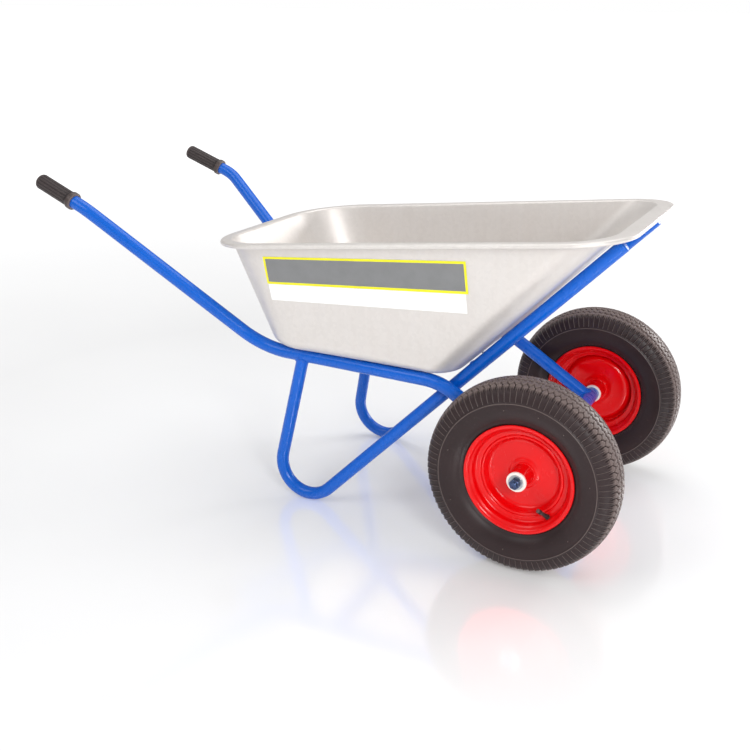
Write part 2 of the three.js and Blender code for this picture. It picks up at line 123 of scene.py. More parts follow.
# ---- materials ----
class Surface:
    """A procedural material. Noise in the piece's own coordinates drives its colour, roughness and bump."""

    def __init__(self, name, **constants):
        self.material = bpy.data.materials.new(name)
        self.material.use_nodes = True
        self.tree = self.material.node_tree
        self.shader = self.tree.nodes["Principled BSDF"]
        for socket, value in constants.items():
            self.shader.inputs[socket.replace("_", " ")].default_value = value
        self.coords = self.node("ShaderNodeTexCoord").outputs["Object"]

    def node(self, kind, inputs=(), **settings):
        made = self.tree.nodes.new(kind)
        for key, value in settings.items():
            setattr(made, key, value)
        for key, value in dict(inputs).items():
            if isinstance(value, bpy.types.NodeSocket):
                self.tree.links.new(value, made.inputs[key])
            else:
                made.inputs[key].default_value = value
        return made

    def stretched(self, scale):
        return self.node("ShaderNodeMapping", {"Vector": self.coords, "Scale": scale}).outputs["Vector"]

    def noise(self, scale, detail=3.0, vector=None):
        inputs = {"Vector": vector or self.coords, "Scale": scale, "Detail": detail}
        return self.node("ShaderNodeTexNoise", inputs).outputs["Fac"]

    def spangle(self, scale):
        return self.node("ShaderNodeTexVoronoi", {"Vector": self.coords, "Scale": scale}).outputs["Color"]

    def spread(self, value, low, high, start=0.3, end=0.7):
        """Maps start..end of a noise onto low..high."""
        inputs = {"Value": value, "From Min": start, "From Max": end, "To Min": low, "To Max": high}
        return self.node("ShaderNodeMapRange", inputs).outputs["Result"]

    def pointiness(self):
        return self.node("ShaderNodeNewGeometry").outputs["Pointiness"]

    def add(self, a, b):
        return self.node("ShaderNodeMath", {0: a, 1: b}, operation="ADD").outputs[0]

    def vectors(self, operation, *values):
        return self.node("ShaderNodeVectorMath", enumerate(values), operation=operation).outputs

    def mix(self, factor, first, second):
        inputs = {"Factor": factor, 6: first, 7: second}
        return self.node("ShaderNodeMix", inputs, data_type="RGBA").outputs[2]

    def colour(self, socket):
        self.tree.links.new(socket, self.shader.inputs["Base Color"])

    def roughness(self, socket):
        self.tree.links.new(socket, self.shader.inputs["Roughness"])

    def bump(self, height, strength, depth_mm):
        inputs = {"Height": height, "Strength": strength, "Distance": depth_mm * MM}
        normal = self.node("ShaderNodeBump", inputs).outputs["Normal"]
        self.tree.links.new(normal, self.shader.inputs["Normal"])
        return self


def rgb(red, green, blue, shade=1.0):
    """Linear colour from 0..255 screen values, made lighter or darker."""
    def linear(value):
        share = value / 255
        return share / 12.92 if share < 0.04045 else ((share + 0.055) / 1.055) ** 2.4
    return (linear(red) * shade, linear(green) * shade, linear(blue) * shade, 1.0)


DUST = rgb(120, 108, 104)
# Paler tones painted on the tyre's tread and on convex rubber edges as highlights; a near-black one painted
# in grooves as shade.
PAINTED_TREAD_HIGHLIGHT = rgb(128, 112, 108)
PAINTED_EDGE_HIGHLIGHT = rgb(122, 108, 104)
PAINTED_GROOVE_SHADE = rgb(9, 7, 7)
ZINC_STAIN = rgb(210, 203, 198)
ZINC_STREAK = rgb(226, 223, 221)


def enamel(name, colour, smooth, coat):
    """Sprayed paint: a faint cloudiness, orange-peel bump, a painted highlight on convex edges and a few
    duller scuffs.
    """
    surface = Surface(name, Coat_Weight=coat, Coat_Roughness=0.12, Specular_IOR_Level=0.28)
    cloud = surface.noise(7.0, 2.0)
    edge = surface.pointiness()
    body = surface.mix(surface.spread(cloud, 0.0, 1.0), rgb(*colour, 0.95), rgb(*colour, 1.04))
    # Painted highlight: convex edges take a lighter copy of the paint colour.
    surface.colour(surface.mix(surface.spread(edge, 0.0, 0.3, 0.53, 0.6), body, rgb(*colour, 1.3)))
    scuff = surface.noise(60.0, 6.0, surface.stretched((1.0, 3.0, 0.6)))
    surface.roughness(surface.spread(scuff, smooth, smooth + 0.12, 0.45, 0.75))
    return surface.bump(surface.noise(300.0, 2.0), 0.08, 0.2).material


def galvanised_sheet():
    """Zinc-coated sheet: fine crystal spangle, drawing streaks down the walls and soft stains."""
    surface = Surface("galvanised_sheet", Metallic=0.42, Specular_IOR_Level=0.5)
    crystal = surface.node("ShaderNodeSeparateColor", {"Color": surface.spangle(140.0)}).outputs["Red"]
    stain = surface.noise(3.0, 3.0)
    streak = surface.noise(40.0, 3.0, surface.stretched((1.6, 1.6, 0.12)))
    base = surface.mix(surface.spread(crystal, 0.0, 1.0, 0.0, 1.0), rgb(216, 211, 207), rgb(221, 216, 212))
    dull = surface.mix(surface.spread(stain, 0.0, 0.4), base, ZINC_STAIN)
    surface.colour(surface.mix(surface.spread(streak, 0.0, 0.25, 0.4, 0.75), dull, ZINC_STREAK))
    matt = surface.spread(crystal, 0.40, 0.44, 0.0, 1.0)
    surface.roughness(surface.add(matt, surface.spread(streak, 0.0, 0.06)))
    relief = surface.add(surface.noise(260.0, 2.0), surface.spread(streak, 0.0, 0.5))
    return surface.bump(relief, 0.05, 0.12).material


def rubber(name, colour, low, high, grain, depth, highlight_from=None):
    """Moulded rubber: faint bloom, a little dust, painted highlights on edges, painted shade in grooves and
    a fine grain.
    Past the radius given in mm, the tread is painted paler as a highlight."""
    surface = Surface(name, Specular_IOR_Level=0.3)
    bloom = surface.noise(11.0, 5.0)
    dust = surface.noise(160.0, 4.0)
    base = surface.mix(surface.spread(bloom, 0.0, 1.0), rgb(*colour, 0.85), rgb(*colour, 1.2))
    dust_and_tread_highlight = surface.mix(surface.spread(dust, 0.0, 0.12, 0.6, 0.85), base, DUST)
    edge = surface.pointiness()
    # Painted highlight: past the given radius the tread turns paler.
    if highlight_from:
        from_axle = surface.vectors("SUBTRACT", surface.coords, AXLE * MM)["Vector"]
        flat = surface.vectors("MULTIPLY", from_axle, (1, 0, 1))["Vector"]
        reach = surface.vectors("LENGTH", flat)["Value"]
        tread_highlight = surface.spread(reach, 0.0, 0.62, (highlight_from - 3) * MM, (highlight_from + 1) * MM)
        dust_and_tread_highlight = surface.mix(tread_highlight, dust_and_tread_highlight, PAINTED_TREAD_HIGHLIGHT)
    # Painted shade: concave places darken towards near-black. Painted highlight: convex edges turn pale.
    groove_shaded = surface.mix(surface.spread(edge, 0.85, 0.0, 0.43, 0.492), dust_and_tread_highlight, PAINTED_GROOVE_SHADE)
    surface.colour(surface.mix(surface.spread(edge, 0.0, 0.75, 0.508, 0.56), groove_shaded, PAINTED_EDGE_HIGHLIGHT))
    surface.roughness(surface.spread(bloom, low, high))
    return surface.bump(surface.noise(grain, 2.0), 0.25, depth).material


def plated(name, colour, low, high):
    """Zinc-plated steel: mottled passivation and turning marks."""
    surface = Surface(name, Metallic=0.95)
    mottle = surface.noise(130.0, 4.0)
    surface.colour(surface.mix(surface.spread(mottle, 0.0, 1.0), rgb(*colour, 0.8), rgb(*colour, 1.1)))
    surface.roughness(surface.spread(mottle, low, high))
    return surface.bump(surface.noise(900.0, 1.0), 0.2, 0.1).material


def plastic(name, colour, low, high, bumpiness=0.12):
    """Moulded or printed plastic: a slight tone shift and a fine orange peel."""
    surface = Surface(name, Specular_IOR_Level=0.45)
    tone = surface.noise(40.0, 3.0)
    surface.colour(surface.mix(surface.spread(tone, 0.0, 1.0), rgb(*colour, 0.94), rgb(*colour, 1.03)))
    surface.roughness(surface.spread(surface.noise(220.0, 3.0), low, high))
    return surface.bump(surface.noise(600.0, 2.0), bumpiness, 0.1).material


BLUE = enamel("frame_paint", (0, 92, 196), 0.26, 0.2)
RED = enamel("rim_paint", (222, 2, 8), 0.2, 0.18)
SHEET_METAL = galvanised_sheet()
TYRE_RUBBER = rubber("tyre_rubber", (42, 29, 30), 0.36, 0.52, 700.0, 0.12, highlight_from=193)
GRIP_RUBBER = rubber("grip_rubber", (42, 34, 35), 0.34, 0.46, 900.0, 0.1)
VALVE_RUBBER = rubber("valve_rubber", (30, 27, 28), 0.4, 0.55, 900.0, 0.1)
ZINC = plated("zinc_hardware", (182, 186, 192), 0.24, 0.42)
BLUED_ZINC = plated("zinc_hardware_blued", (74, 88, 122), 0.22, 0.38)
NYLON = plastic("bearing_nylon", (243, 236, 229), 0.3, 0.45)
LABEL_GREY = plastic("label_grey", (126, 127, 128), 0.3, 0.4, 0.05)
LABEL_YELLOW = plastic("label_yellow", (240, 234, 30), 0.3, 0.4, 0.05)
LABEL_WHITE = plastic("label_white", (252, 252, 252), 0.3, 0.4, 0.05)


# ---- mesh kit ----
def piece(name, shape, body, material, nodes=(), sharp=38):
    """A mesh piece from (points in mm, faces).
    It rides on a CAD body and stands for the named CAD nodes."""
    points, faces = shape
    mesh = bpy.data.meshes.new(name)
    mesh.from_pydata([tuple(c * MM for c in p) for p in points], [], [tuple(f) for f in faces])
    work = bmesh.new()
    work.from_mesh(mesh)
    bmesh.ops.recalc_face_normals(work, faces=work.faces)
    work.to_mesh(mesh)
    work.free()
    mesh.shade_smooth()
    mesh.set_sharp_from_angle(angle=math.radians(sharp))
    mesh.materials.append(material)
    made = bpy.data.objects.new(name, mesh)
    bpy.context.scene.collection.objects.link(made)
    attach(made, body)
    if nodes:
        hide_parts(*nodes)


def painted(name, shape, nodes=()):
    """A piece of the blue frame."""
    piece(name, shape, "frame", BLUE, nodes)


def joined(shapes):
    """Several (points, faces) as one."""
    points, faces = [], []
    for more_points, more_faces in shapes:
        start = len(points)
        points += list(more_points)
        faces += [tuple(i + start for i in face) for face in more_faces]
    return points, faces


def place(point, side):
    """The scene's point for one whose X counts from the axle; side is 1, or -1 to mirror it."""
    x, y, z = point
    return Vector((x + AXLE_X, side * y, z))


def at_x(a, b, x):
    """The point of the line through a and b whose X counts x from the axle."""
    return a.lerp(b, (x + AXLE_X - a.x) / (b.x - a.x))


def circle(centre, u, v, radius, count):
    """Points of a circle in the plane of the unit vectors u and v."""
    turns = [2 * math.pi * k / count for k in range(count)]
    return [centre + (u * math.cos(t) + v * math.sin(t)) * radius for t in turns]


def corner_arc(a, b, c, radius, steps):
    """Points of the arc that rounds the corner at b."""
    u, v = (a - b).normalized(), (c - b).normalized()
    half = u.angle(v) / 2
    centre = b + (u + v).normalized() * (radius / math.sin(half))
    start = b + u * (radius / math.tan(half)) - centre
    end = b + v * (radius / math.tan(half)) - centre
    sweep = start.angle(end)
    side = (end - start * math.cos(sweep)) / math.sin(sweep)
    turns = [sweep * i / steps for i in range(steps + 1)]
    return [centre + start * math.cos(t) + side * math.sin(t) for t in turns]


def rounded_path(corners, radii, steps):
    """The corners' path, with each inner corner rounded by its radius."""
    path = [corners[0]]
    for i, radius in enumerate(radii):
        path += corner_arc(corners[i], corners[i + 1], corners[i + 2], radius, steps)
    return path + [corners[-1]]


def loft(rings, closed):
    """Quads between rings of the same length; open stacks get a cap at each end."""
    count = len(rings[0])
    points = [p for ring in rings for p in ring]
    faces = []
    last = len(rings) if closed else len(rings) - 1
    for r in range(last):
        a, b = r * count, ((r + 1) % len(rings)) * count
        for i in range(count):
            j = (i + 1) % count
            faces.append((a + i, a + j, b + j, b + i))
    if not closed:
        faces.append(tuple(range(count)))
        faces.append(tuple(range(len(points) - count, len(points))))
    return points, faces


def round_bar(path, radius, sides=40):
    """A round bar along an open path, its section carried along without twist."""
    steps = [(b - a).normalized() for a, b in zip(path, path[1:])]
    tangents = [steps[0]] + [(a + b).normalized() for a, b in zip(steps, steps[1:])] + [steps[-1]]
    normal = tangents[0].orthogonal().normalized()
    rings = []
    for centre, tangent in zip(path, tangents):
        normal = (normal - tangent * normal.dot(tangent)).normalized()
        rings.append(circle(centre, normal, tangent.cross(normal), radius, sides))
    return loft(rings, False)


def bead_ring(path, radius, sides=10, ripples=30):
    """A closed weld bead along a loop, with the ripples that the torch leaves."""
    middle = sum(path, Vector()) / len(path)
    rings = []
    for i, centre in enumerate(path):
        tangent = (path[(i + 1) % len(path)] - path[i - 1]).normalized()
        outward = centre - middle
        normal = (outward - tangent * outward.dot(tangent)).normalized()
        wave = abs(math.sin(math.pi * ripples * i / len(path)))
        size = radius * (0.86 + 0.2 * wave + 0.08 * math.sin(5.3 * i / len(path) * 2 * math.pi))
        rings.append(circle(centre, normal, tangent.cross(normal), size, sides))
    return loft(rings, True)


def saddle(start, direction, radius, host_point, host_axis, host_radius, steps=120):
    """The loop where a round bar's skin meets a round host bar."""
    direction, host_axis = direction.normalized(), host_axis.normalized()
    u = direction.orthogonal().normalized()
    loop = []
    for skin in circle(start, u, direction.cross(u), radius, steps):
        across = skin - host_point
        across -= host_axis * across.dot(host_axis)
        along = direction - host_axis * direction.dot(host_axis)
        a, b, c = along.dot(along), 2 * across.dot(along), across.dot(across) - host_radius ** 2
        root = math.sqrt(max(0.0, b * b - 4 * a * c))
        loop.append(skin + direction * ((-b + root) / (2 * a)))
    return loop


def lathe(profile, segments, origin=Vector(), axis=Y_AXIS, ring=True, ripple=None):
    """A turned piece from (radius, height) pairs; ring joins the last pair to the first.
    ripple(radius, height, angle) says how much the radius changes round the piece."""
    axis = axis.normalized()
    u = axis.orthogonal().normalized()
    v = axis.cross(u)
    points, rows = [], []
    for radius, height in profile:
        centre = origin + axis * height
        start = len(points)
        if radius < 1e-6:
            points.append(centre)
            rows.append([start] * segments)
            continue
        for k in range(segments):
            angle = 2 * math.pi * k / segments
            reach = radius + (ripple(radius, height, angle) if ripple else 0)
            points.append(centre + (u * math.cos(angle) + v * math.sin(angle)) * reach)
        rows.append(list(range(start, start + segments)))
    faces = []
    for a, b in zip(rows, rows[1:] + rows[:1] if ring else rows[1:]):
        for k in range(segments):
            n = (k + 1) % segments
            corners = list(dict.fromkeys((a[k], b[k], b[n], a[n])))
            if len(corners) > 2:
                faces.append(tuple(corners))
    return points, faces


def rectangle(inner, outer, start, end):
    """The profile of a plain tube."""
    return [(inner, start), (outer, start), (outer, end), (inner, end)]


def mirrored(profile):
    return [(radius, -height) for radius, height in reversed(profile)]


def soften(profile, radius, ring=True, steps=4):
    """The profile with its corners rounded."""
    corners = [Vector(p) for p in profile]
    result = []
    for i, here in enumerate(corners):
        if not ring and i in (0, len(corners) - 1):
            result.append(tuple(here))
            continue
        before, after = corners[i - 1] - here, corners[(i + 1) % len(corners)] - here
        reach = min(radius, before.length * 0.45, after.length * 0.45)
        a, b = here + before.normalized() * reach, here + after.normalized() * reach
        for k in range(steps + 1):
            t = k / steps
            result.append(tuple(a * (1 - t) ** 2 + here * (2 * t * (1 - t)) + b * t * t))
    return result


# ---- frame ----
def add_frame_side(name, side):
    end, bend, rear, front, foot = (place(p, side) for p in HANDLE_CORNERS)
    foot_corner, brace_top = place(FOOT_CORNER, side), place(BRACE_TOP, side)
    brace_line = brace_top - foot_corner

    grip_direction = (bend - end).normalized()
    in_grip = end + grip_direction * (GRIP_WALL_END + 1)
    in_axle_tube = foot + (front - foot).normalized() * INTO_AXLE_TUBE
    handle = rounded_path([in_grip, bend, rear, front, in_axle_tube], HANDLE_BENDS, 20)
    painted(f"handle_tube_{name}_round", round_bar(handle, HANDLE_RADIUS), [f"handle_tube_{name}"])

    leg_top = at_x(rear, front, LEG_TOP_X)
    leg_direction = (foot_corner - leg_top).normalized()
    in_handle = leg_top + leg_direction * INTO_HANDLE
    brace = rounded_path([in_handle, foot_corner, brace_top], [FOOT_BEND], 28)
    painted(f"brace_tube_{name}_round", round_bar(brace, BRACE_RADIUS), [f"brace_tube_{name}"])
    plug = lathe(PLUG_OUTLINE, 48, brace_top, brace_line, ring=False)
    painted(f"brace_plug_{name}_domed", plug, [f"brace_plug_{name}"])

    bar_host = at_x(foot_corner, brace_top, CROSS_BAR_X)
    inward = Y_AXIS * -side
    leg_seam = saddle(leg_top, leg_direction, BRACE_RADIUS, leg_top, front - rear, HANDLE_RADIUS)
    axle_seam = saddle(foot, front - foot, HANDLE_RADIUS, AXLE, Y_AXIS, AXLE_TUBE_RADIUS)
    bar_seam = saddle(cross_bar_end(side), inward, CROSS_BAR_RADIUS, bar_host, brace_line, BRACE_RADIUS)
    beads = [bead_ring(leg_seam, 2.3), bead_ring(axle_seam, 2.6), bead_ring(bar_seam, 2.0)]
    crossing = crossing_weld(*nearest(handle, foot_corner, brace_top))
    painted(f"welds_{name}", joined(beads + [crossing]))
    add_grip(name, end, grip_direction)


def cross_bar_end(side):
    """Where the cross bar meets the brace, level with the brace's upper side."""
    foot_corner, brace_top = place(FOOT_CORNER, side), place(BRACE_TOP, side)
    along = brace_top - foot_corner
    up = Vector((-along.z, 0, along.x)).normalized()
    return at_x(foot_corner, brace_top, CROSS_BAR_X) + up * (BRACE_RADIUS - CROSS_BAR_RADIUS)


def nearest(path, a, b):
    """The middle of the shortest way from a path to the line through a and b, and that way's direction."""
    along = (b - a).normalized()
    ways = []
    for start, end in zip(path, path[1:]):
        for k in range(8):
            point = start.lerp(end, k / 8)
            foot = a + along * (point - a).dot(along)
            ways.append(((foot - point).length, point, foot))
    _, point, foot = min(ways, key=lambda way: way[0])
    return point.lerp(foot, 0.5), (foot - point).normalized()


def crossing_weld(centre, direction):
    """A waisted lump of weld between the brace and the handle tube where they pass each other."""
    def lumps(_radius, height, angle):
        return 0.5 * math.sin(3 * angle + height) + 0.4 * math.cos(7 * angle)

    return lathe(CROSSING_OUTLINE, 36, centre, direction, ring=False, ripple=lumps)


def add_grip(name, end, direction):
    """A rubber grip with lengthwise flutes, a closed end and a collar."""
    nose = [(0, 0), (7, 0.1), (11.5, 0.5), (14.6, 1.7), (16.5, 3.7), (17.6, 6.4)]
    barrel = [(GRIP_RADIUS, 8.5 + 2.2 * k) for k in range(40)]
    collar = [(18.2, 96), (19.4, 97), (20.3, 98.2), (20.5, 99.6), (20.5, 106.6), (20.1, 108.2)]
    bore = HANDLE_RADIUS + 0.2
    inside = [(19, GRIP_LENGTH), (bore, GRIP_LENGTH), (bore, GRIP_WALL_END), (0, GRIP_WALL_END)]

    def flute(radius, height, angle):
        if not 17 <= radius <= 18:
            return 0
        share = min(1.0, max(0.0, (height - 7) / 5), max(0.0, (95 - height) / 5))
        return -FLUTE_DEPTH * share * (0.5 - 0.5 * math.cos(GRIP_FLUTES * angle)) ** 2

    outline = nose + barrel + collar + inside
    shape = lathe(outline, GRIP_FLUTES * 9, end, direction, ring=False, ripple=flute)
    piece(f"grip_{name}_fluted", shape, "frame", GRIP_RUBBER, [f"grip_{name}"])


def add_cross_members():
    left, right = cross_bar_end(1), cross_bar_end(-1)
    inset = Y_AXIS * (CROSS_BAR_RADIUS - 1)
    path = [left - inset, left.lerp(right, 0.5), right + inset]
    painted("cross_bar_round", round_bar(path, CROSS_BAR_RADIUS, 32), ["cross_bar"])
    tube = rectangle(AXLE_TUBE_BORE, AXLE_TUBE_RADIUS, -AXLE_TUBE_HALF, AXLE_TUBE_HALF)
    painted("axle_tube_round", lathe(soften(tube, 0.6), 48, AXLE), ["axle_tube"])


# ---- axle ends ----
def hexagon_nut(across_flats, bore, start, height, origin, axis):
    """A hexagon nut with chamfered corners."""
    chamfer = [(0, 9.3), (0.35, 9.9), (0.7, 10.5), (1.1, 11.2)]
    rows = chamfer + [(height - h, r) for h, r in reversed(chamfer)]
    profile = [(r, start + h) for h, r in rows] + [(bore, start + height), (bore, start)]

    def flats(radius, _height, angle):
        if radius <= bore:
            return 0
        reach = across_flats / 2 / math.cos((angle % (math.pi / 3)) - math.pi / 6)
        return min(radius, reach) - radius

    return lathe(profile, 96, origin, axis, ripple=flats)


def add_axle_rod():
    """Threaded at both ends, plain in the middle."""
    thread = []
    for k in range(THREAD_TURNS):
        root = THREAD_START + THREAD_PITCH * k
        thread.append((ROD_RADIUS - 0.65, root))
        thread += [(ROD_RADIUS, root + share * THREAD_PITCH) for share in (0.35, 0.65)]
    end = [(5.2, ROD_HALF - 0.5), (4.6, ROD_HALF), (0, ROD_HALF)]
    upper = [(ROD_RADIUS, 300)] + thread + end
    rod = lathe(mirrored(upper) + upper, 40, AXLE, ring=False)
    piece("axle_rod_threaded", rod, "frame", BLUED_ZINC, ["axle_rod"])


def add_axle_end(name, side):
    axis = Y_AXIS * side
    washer = rectangle(WASHER["bore"], WASHER["radius"], WASHER["start"], WASHER["end"])
    piece(f"axle_washer_{name}_fine", lathe(soften(washer, 0.5), 64, AXLE, axis), "frame", ZINC,
          [f"axle_washer_{name}"])
    piece(f"axle_nut_{name}_fine", hexagon_nut(**NUT, origin=AXLE, axis=axis), "frame", BLUED_ZINC,
          [f"axle_nut_{name}"], sharp=28)


# ---- wheels: heights are from the wheel's middle plane, positive away from the barrow ----
def smooth_curve(points, steps):
    """A Catmull-Rom curve through the points, with steps[i] samples from point i on."""
    known = [np.array(p, float) for p in points]
    known = [2 * known[0] - known[1]] + known + [2 * known[-1] - known[-2]]
    samples = []
    for i, count in enumerate(steps):
        p0, p1, p2, p3 = known[i:i + 4]
        for k in range(count):
            t = k / count
            samples.append(0.5 * (2 * p1 + (p2 - p0) * t + (2 * p0 - 5 * p1 + 4 * p2 - p3) * t * t
                                  + (3 * p1 - p0 - 3 * p2 + p3) * t ** 3))
    return np.array(samples + [known[-2]])


def smoothstep(low, high, value):
    share = np.clip((value - low) / (high - low), 0, 1)
    return share * share * (3 - 2 * share)


def bell(offset, width):
    """A rounded ridge of height 1 that is narrow when width is small."""
    return np.exp(-(offset / width) ** 2)


TREAD_REPEATS = 92
TREAD_SAMPLES = 12
TREAD_GROOVES = (-24, -8, 8, 24)
RIB_WIDTH = 16
ZIGZAG = 3.4
GROOVE_DEPTH = 3.6
NOTCH_DEPTH = 2.8
RIDGE_HEIGHT = 1.7
SHOULDER_DROP = 0.9
SCALLOP_DEPTH = 1.6
SIDE_LINES = [(162.8, 1.5), (118.5, 0.6)]
SIDE_LINE_WIDTH = 1.2


def tread_relief(radius, height, phase):
    """How far the rubber stands off the tyre's smooth shape, in mm.
    Phase runs from 0 to 1 over one repeat of the tread."""
    zigzag = ZIGZAG * (4 * np.abs(phase - 0.5) - 1)
    on_tread = 1 - smoothstep(32, 34, np.abs(height) + zigzag * np.sign(height) * 0.5)
    groove = np.zeros_like(phase + height)
    for middle in TREAD_GROOVES:
        groove = np.maximum(groove, 1 - smoothstep(1.1, 2.2, np.abs(height - middle - zigzag)))
    rib = np.floor((height - zigzag) / RIB_WIDTH + 0.5)
    across_rib = np.abs((height - zigzag) / RIB_WIDTH + 0.5 - rib - 0.5)
    notch_at = np.where(rib % 2 == 0, 0.0, 0.5)
    from_notch = np.abs((phase - notch_at + 0.5) % 1 - 0.5)
    notch = (1 - smoothstep(0.05, 0.11, from_notch)) * smoothstep(0.16, 0.22, across_rib)
    relief = -on_tread * np.maximum(GROOVE_DEPTH * groove, NOTCH_DEPTH * notch)
    shoulder = (1 - on_tread) * smoothstep(165, 167.5, radius)
    ridge = bell(phase - 0.5, 0.055)
    scallop = smoothstep(186, 191, radius) * (1 - smoothstep(0.08, 0.18, np.abs((phase + 0.5) % 1 - 0.5)))
    relief = relief + shoulder * (RIDGE_HEIGHT * ridge - SHOULDER_DROP - SCALLOP_DEPTH * scallop)
    lines = sum(rise * bell(radius - at, SIDE_LINE_WIDTH) for at, rise in SIDE_LINES)
    return relief + lines * (radius < 166)


# Outlines from here on are (radius, height). The tyre's runs from its bead to the middle of the tread.
TYRE_HALF = [(102.6, 23.5), (103.2, 27.3), (107, 29.2), (113, 31), (121, 36), (130, 42.6), (142, 47.6),
             (156, 49.7), (168, 48.9), (178, 46.2), (186, 42.2), (191.5, 36.8), (195.4, 28.5), (198, 18.5),
             (199.5, 9), (199.95, 0)]
TYRE_STEPS = [2, 3, 3, 4, 4, 5, 7, 12, 7, 6, 6, 8, 10, 10, 9]
TYRE_INSIDE_HALF = [(192, 14), (181, 37), (158, 44), (137, 39), (114, 22.5), (104, 21.5)]


def tyre_shape(origin, axis):
    """The tyre with its tread: the section's outer line moved by the relief, turned round the axle."""
    upper = smooth_curve(TYRE_HALF, TYRE_STEPS)
    outer = np.vstack([upper, (upper * [1, -1])[-2::-1]])
    slope = np.gradient(outer, axis=0)
    normal = np.stack([-slope[:, 1], slope[:, 0]], 1)
    normal /= np.linalg.norm(normal, axis=1)[:, None]
    around = TREAD_REPEATS * TREAD_SAMPLES
    angle = np.arange(around) * 2 * np.pi / around
    phase = (np.arange(around) % TREAD_SAMPLES / TREAD_SAMPLES)[:, None]
    relief = tread_relief(outer[None, :, 0], outer[None, :, 1], phase)
    section = outer[None] + normal[None] * relief[..., None]
    inner = np.array(mirrored(TYRE_INSIDE_HALF) + TYRE_INSIDE_HALF, float)
    section = np.concatenate([section, np.broadcast_to(inner, (around, *inner.shape))], 1)
    along = section.shape[1]
    spoke = np.stack([np.cos(angle), np.zeros(around), np.sin(angle)], 1)
    points = np.array(origin) + section[..., :1] * spoke[:, None] + section[..., 1:] * np.array(axis)
    index = np.arange(around * along).reshape(around, along)
    ahead, beside = np.roll(index, -1, 0), np.roll(index, -1, 1)
    faces = np.stack([index, ahead, np.roll(ahead, -1, 1), beside], -1).reshape(-1, 4)
    return points.reshape(-1, 3).tolist(), faces.tolist()


def spoke_at(degrees):
    angle = math.radians(degrees)
    return X_AXIS * math.cos(angle) + Z_AXIS * math.sin(angle)


NUB_ANGLES = (8, 52, 74, 101, 163, 205, 262, 318)
NUB_RING = (149, 48)


def tyre_nubs(origin, axis):
    """Short stubs that the mould's vents leave on the sidewall."""
    nubs = []
    for angle in NUB_ANGLES:
        spoke = spoke_at(angle)
        foot = origin + spoke * NUB_RING[0] + axis * NUB_RING[1]
        nubs.append(round_bar([foot, foot + axis * 1.5, foot + axis * 2.6 + spoke * 0.5], 0.9, 10))
    return joined(nubs)


# The rim barrel's outer half is mirrored for its inner half; the disc sits in the outer one.
BARREL_FACE = [(112.6, 32), (114.2, 32.8), (114.6, 34.4), (113.6, 35.9), (111.4, 36.3), (108.6, 35.5),
               (106.2, 33.9), (104.6, 31.6), (103.2, 29.2), (101, 27.6), (99.3, 25.6), (98.5, 22.6),
               (98, 18.6), (96.9, 16.2), (94.4, 14.6), (90.6, 13.6), (88.2, 13.1), (86.7, 12.2),
               (86.1, 10.8)]
BARREL_BACK = [(112.6, 31.2), (106.5, 31), (104.9, 29.6), (101.6, 26.8), (100.4, 24), (100, 18),
               (98.6, 14.4), (95, 12.4), (88.6, 10.8)]
DISC_FACE = [(86.4, 11.2), (85.2, 12.6), (83.6, 13.4), (81.8, 13.1), (80.4, 11.9), (79, 9.2), (77.4, 5.4),
             (75.4, 1.4), (72.8, -1.8), (69.4, -3.6), (65, -4.3), (56, -4.5), (46, -4.2), (38, -3.6),
             (33, -3), (30.5, -2), (28.6, -0.5), (26, 0.2), (21.9, 0.3)]
DISC_BACK = [(21.9, -2.4), (26, -2.4), (30, -3.6), (33, -5.4), (38, -6.2), (46, -6.8), (56, -7.1),
             (65, -6.9), (70.4, -6), (74.7, -3.7), (77.7, 0.2), (79.7, 4.2), (81.4, 7.6), (83.2, 9.3),
             (86.4, 9.4)]
HUB = rectangle(17, 21.6, -39.7, 39.7)
HUB_BEAD_RADIUS = 22.6
HUB_BEAD_HEIGHTS = (0.6, -2.7)
BEARING = [(6.7, 44.2), (12.6, 44.2), (13.2, 45), (19.4, 45), (20.4, 44.2), (20.4, 40.1), (16.7, 40.1),
           (16.7, 26), (6.7, 26)]
VALVE_ANGLE = -52
VALVE_ROOT, VALVE_TIP = (100.5, 12.5), (76, 31)
VALVE_STEM = [(0, 0), (4.6, 0), (4.7, 5.5), (5.6, 6.4), (5.6, 8.4), (4.8, 9.8), (4.5, 13), (3.8, 17),
              (3.6, 18)]
VALVE_CAP_FOOT = [(0, -2.6), (4.6, -2.6)]
VALVE_CAP_SIDE = [(4.6, 0.8 * k - 1.9) for k in range(8)]
VALVE_CAP_END = [(4.6, 5.6), (4.3, 6.8), (3.2, 7.5), (0, 7.7)]


def add_wheel(name, side):
    body = f"wheel_{name}"
    axis = Y_AXIS * side
    middle = AXLE + axis * HALF_TRACK

    def turned(node, profile, material, segments):
        shape = lathe(profile, segments, middle, axis)
        piece(f"{node}_{name}_turned", shape, body, material, [f"{node}_{name}"])

    tyre = joined([tyre_shape(middle, axis), tyre_nubs(middle, axis)])
    piece(f"tyre_{name}_treaded", tyre, body, TYRE_RUBBER, [f"tyre_{name}"], sharp=50)
    barrel = BARREL_FACE + mirrored(BARREL_FACE) + mirrored(BARREL_BACK[::-1]) + BARREL_BACK[::-1]
    turned("rim_barrel", barrel, RED, 160)
    turned("wheel_disc", DISC_FACE + DISC_BACK, RED, 160)
    turned("hub", soften(HUB, 0.8), RED, 96)
    turned("bearing_outer", soften(BEARING, 0.4), NYLON, 96)
    turned("bearing_inner", soften(mirrored(BEARING), 0.4), NYLON, 96)
    beads = []
    for height in HUB_BEAD_HEIGHTS:
        seam = circle(middle + axis * height, X_AXIS, Z_AXIS, HUB_BEAD_RADIUS, 160)
        beads.append(bead_ring(seam, 1.9, ripples=36))
    piece(f"hub_welds_{name}", joined(beads), body, RED)
    add_valve(name, body, middle, axis)


